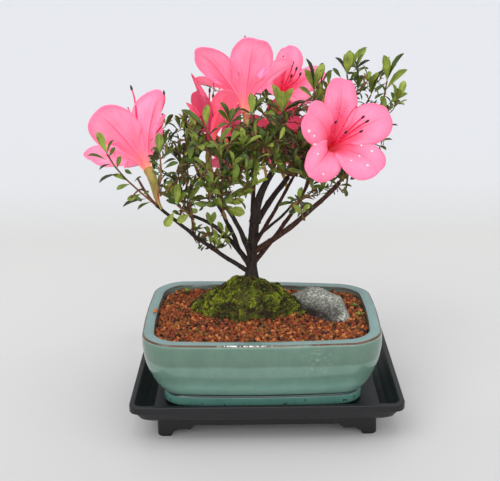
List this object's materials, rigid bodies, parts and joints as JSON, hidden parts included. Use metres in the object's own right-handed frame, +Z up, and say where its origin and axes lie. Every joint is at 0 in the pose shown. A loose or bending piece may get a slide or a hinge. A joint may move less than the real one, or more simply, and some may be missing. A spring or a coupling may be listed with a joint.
{
  "type": "azalea bonsai",
  "caption": "Flowering azalea bonsai in an oblong glazed pot with a mossy mound and a stone, standing in a footed plastic drip tray.",
  "frame": {"origin": "middle of the object's bounding box, at the level of the table it stands on", "axes": "+Z up, +X to the right along the pot's long side, -Y out of the front of the pot, towards the picture's camera"},
  "size_m": [0.2168, 0.1713, 0.2542],
  "materials": {
    "tray_plastic": "satin charcoal plastic",
    "celadon_glaze": "glossy grey-green glaze",
    "red_grit": "loose red-brown granules",
    "moss": "soft green moss",
    "stone": "rough grey stone",
    "bark": "rough dark bark",
    "leaf": "waxy green leaves",
    "petal": "soft pink petals"
  },
  "bodies": {
    "root": {"tray": "tray_plastic", "pot": "celadon_glaze", "grit": "red_grit", "rock": "stone", "moss": "moss", "trunk": "bark", "leader_left": "bark", "leader_right": "bark", "bough_right_low": "bark", "bough_right_rise": "bark", "bough_right_back": "bark", "bough_front": "bark", "bough_left_low": "bark", "bough_left_back": "bark", "bough_left_front": "bark", "bough_left_rise": "bark", "bough_left_spur": "bark", "bough_back": "bark", "foliage_top": "leaf", "foliage_top_back": "leaf", "foliage_right": "leaf", "foliage_right_inner": "leaf", "foliage_right_back": "leaf", "foliage_front": "leaf", "foliage_left": "leaf", "foliage_left_rise": "leaf", "foliage_left_front": "leaf", "foliage_left_back": "leaf", "foliage_left_low": "leaf", "foliage_back": "leaf", "bloom_right": "petal", "bloom_left": "petal", "bloom_top": "petal", "bloom_inner": "petal", "bloom_top_back": "petal", "bloom_back": "petal", "bloom_back_left": "petal"}
  },
  "joints": []
}
